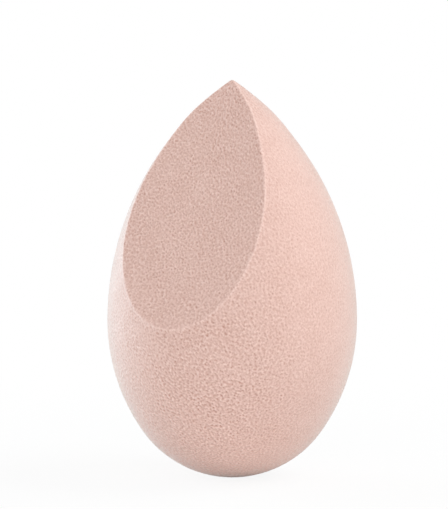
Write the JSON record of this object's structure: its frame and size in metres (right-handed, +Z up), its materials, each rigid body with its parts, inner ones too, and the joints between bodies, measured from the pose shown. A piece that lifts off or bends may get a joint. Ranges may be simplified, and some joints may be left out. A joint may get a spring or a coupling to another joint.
{
  "type": "makeup sponge",
  "caption": "Teardrop makeup sponge of soft open-cell foam, with a rounded bottom end, a pointed tip and one slanted flat cut.",
  "frame": {"origin": "on the teardrop's axis, in the middle of the small flat that it rests on", "axes": "+Z up along the teardrop's axis, towards the tip; -Y towards the side with the slanted flat cut; X from side to side, and the YZ plane mirrors one half onto the other"},
  "size_m": [0.039, 0.039, 0.0622],
  "materials": {
    "foam": "dry matte open-cell foam in pale pinkish beige, with fine pores"
  },
  "bodies": {
    "root": {"sponge": "foam"}
  },
  "joints": []
}
